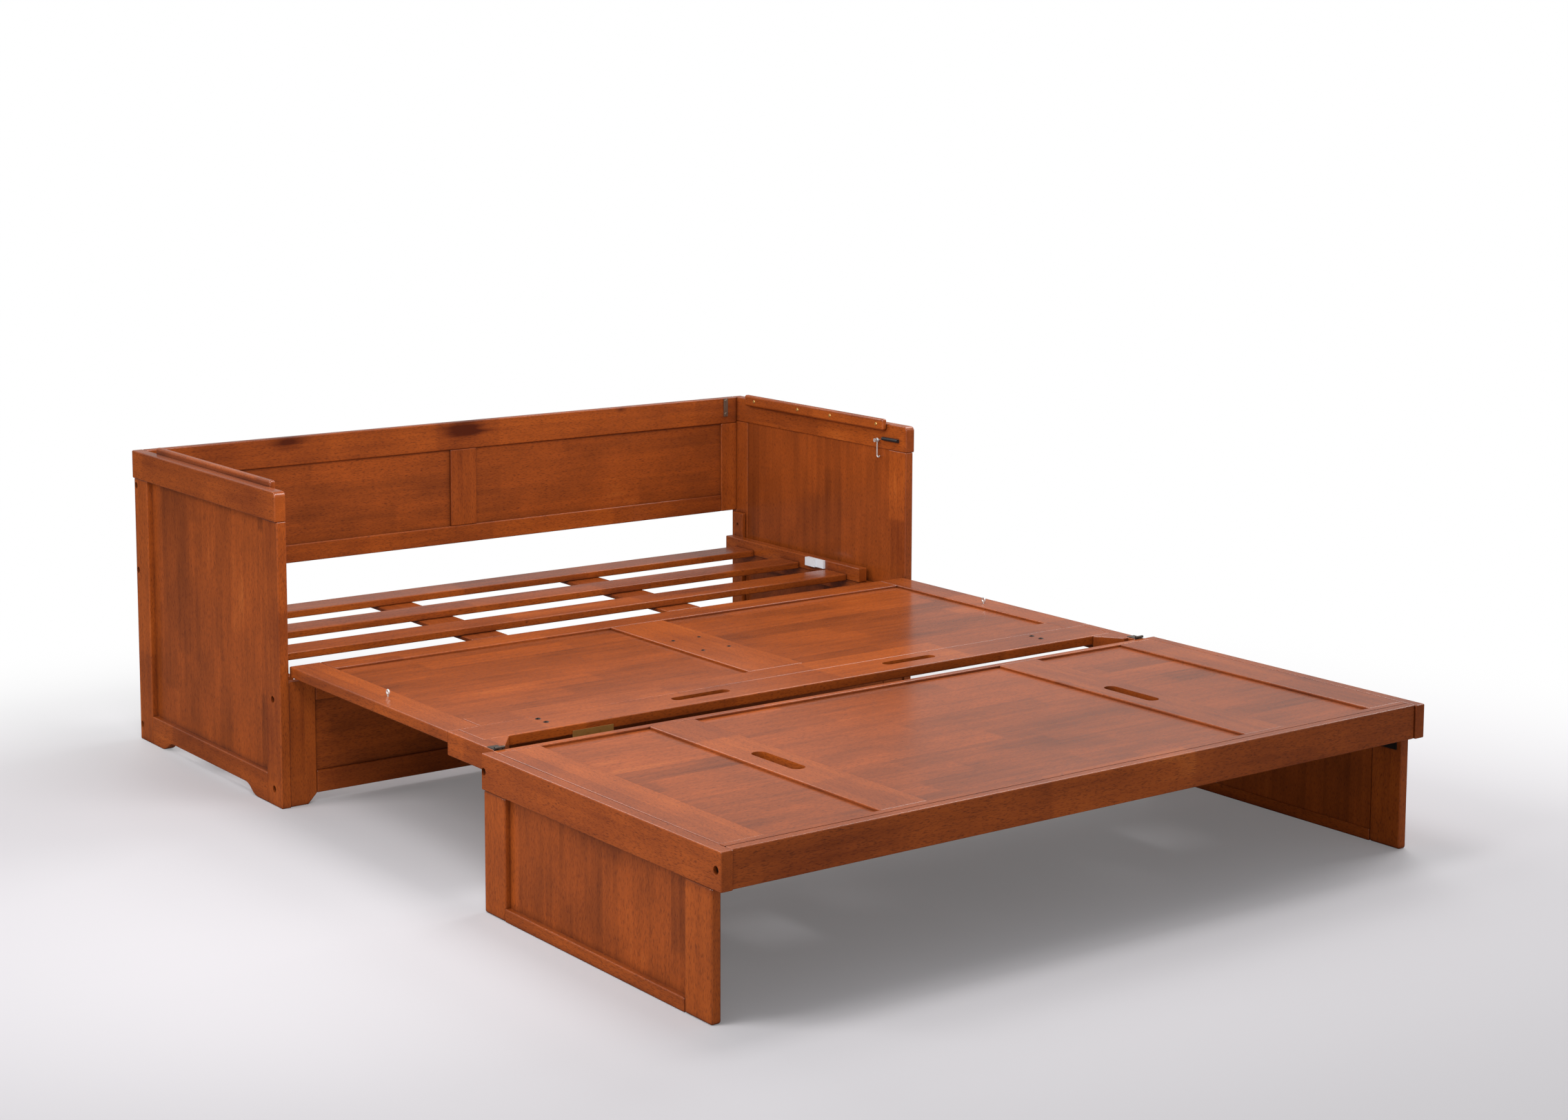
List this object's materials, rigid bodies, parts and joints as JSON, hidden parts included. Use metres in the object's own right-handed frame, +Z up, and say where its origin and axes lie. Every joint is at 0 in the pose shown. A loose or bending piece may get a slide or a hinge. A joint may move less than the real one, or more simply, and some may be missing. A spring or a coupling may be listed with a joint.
{
  "type": "cabinet bed",
  "caption": "Cabinet bed in stained wood, opened flat: slatted cabinet with panelled sides and back, hinged middle panel and a foot platform on folding leg frames.",
  "frame": {"origin": "on the floor, at the centre of the opened bed's outline", "axes": "+Z up, +Y towards the cabinet at the head, +X to the right seen from the foot"},
  "size_m": [1.644, 2.249, 0.661],
  "materials": {
    "frame_wood": "stained rubberwood, satin lacquer",
    "panel_wood": "stained veneered board, satin lacquer",
    "hinge_steel": "plated pressed steel",
    "bolt_steel": "dark zinc plated",
    "hook_steel": "bright zinc plated wire",
    "bumper_rubber": "black moulded rubber",
    "bronze_plate": "dull bronzed",
    "brass_plate": "brassed pressed steel",
    "white_clip": "white moulded plastic"
  },
  "bodies": {
    "cabinet": {"left_top_rail": "frame_wood", "right_top_rail": "frame_wood", "left_side_stiles": "frame_wood", "right_side_stiles": "frame_wood", "side_bottom_rails": "frame_wood", "side_panels": "panel_wood", "top_cleats": "frame_wood", "back_top_rail": "frame_wood", "back_bottom_rail": "frame_wood", "back_stiles": "frame_wood", "back_panels": "panel_wood", "front_stiles": "frame_wood", "front_top_rail": "frame_wood", "front_bottom_rail": "frame_wood", "front_panel": "panel_wood", "rear_stretcher": "frame_wood", "corner_posts": "frame_wood", "deck_ledgers": "frame_wood", "deck_end_rails": "frame_wood", "deck_slats": "frame_wood", "deck_cross_members": "frame_wood", "middle_hinge_fixed_leaves": "hinge_steel", "middle_hinge_pins": "hinge_steel", "cabinet_bolts": "bolt_steel", "hook_screws": "hook_steel", "bumpers": "bumper_rubber", "strike_plate": "bronze_plate", "slat_clip": "white_clip"},
    "middle": {"middle_stiles": "frame_wood", "middle_rails": "frame_wood", "middle_panels": "panel_wood", "header": "frame_wood", "cheeks": "frame_wood", "middle_hinge_moving_leaves": "hinge_steel", "foot_hinge_fixed_leaves": "hinge_steel", "foot_hinge_pins": "hinge_steel", "middle_eyes": "hook_steel", "header_plate": "brass_plate"},
    "foot": {"foot_side_rails": "frame_wood", "foot_apron": "frame_wood", "foot_rear_rail": "frame_wood", "platform_front_rail": "frame_wood", "platform_edge_stiles": "frame_wood", "platform_slotted_stiles": "frame_wood", "platform_panels": "panel_wood", "foot_hinge_moving_leaves": "hinge_steel", "leg_hinge_fixed_leaves": "hinge_steel", "leg_hinge_pins": "hinge_steel", "foot_bolts": "bolt_steel"},
    "left_leg": {"left_leg_stiles": "frame_wood", "left_leg_rail": "frame_wood", "left_leg_panel": "panel_wood", "left_leg_hinge_leaves": "hinge_steel"},
    "right_leg": {"right_leg_stiles": "frame_wood", "right_leg_rail": "frame_wood", "right_leg_panel": "panel_wood", "right_leg_hinge_leaves": "hinge_steel"},
    "left_hook": {"left_hook": "hook_steel"},
    "right_hook": {"right_hook": "hook_steel"}
  },
  "joints": [
    {"name": "middle_hinge", "type": "hinge", "parent": "cabinet", "child": "middle", "pos_m": [0, 0.4205, 0.265], "axis": [-1, 0, 0], "range_deg": [0, 90]},
    {"name": "foot_hinge", "type": "hinge", "parent": "middle", "child": "foot", "pos_m": [0, -0.3845, 0.294], "axis": [-1, 0, 0], "range_deg": [0, 90]},
    {"name": "left_leg_hinge", "type": "hinge", "parent": "foot", "child": "left_leg", "pos_m": [-0.794, 0, 0.22485], "axis": [0, -1, 0], "range_deg": [0, 90]},
    {"name": "right_leg_hinge", "type": "hinge", "parent": "foot", "child": "right_leg", "pos_m": [0.794, 0, 0.22485], "axis": [0, 1, 0], "range_deg": [0, 90]},
    {"name": "left_hook_swing", "type": "hinge", "parent": "cabinet", "child": "left_hook", "pos_m": [-0.7905, 0.5215, 0.608], "axis": [-1, 0, 0], "range_deg": [-90, 75]},
    {"name": "right_hook_swing", "type": "hinge", "parent": "cabinet", "child": "right_hook", "pos_m": [0.7905, 0.5215, 0.608], "axis": [-1, 0, 0], "range_deg": [-90, 75]}
  ]
}
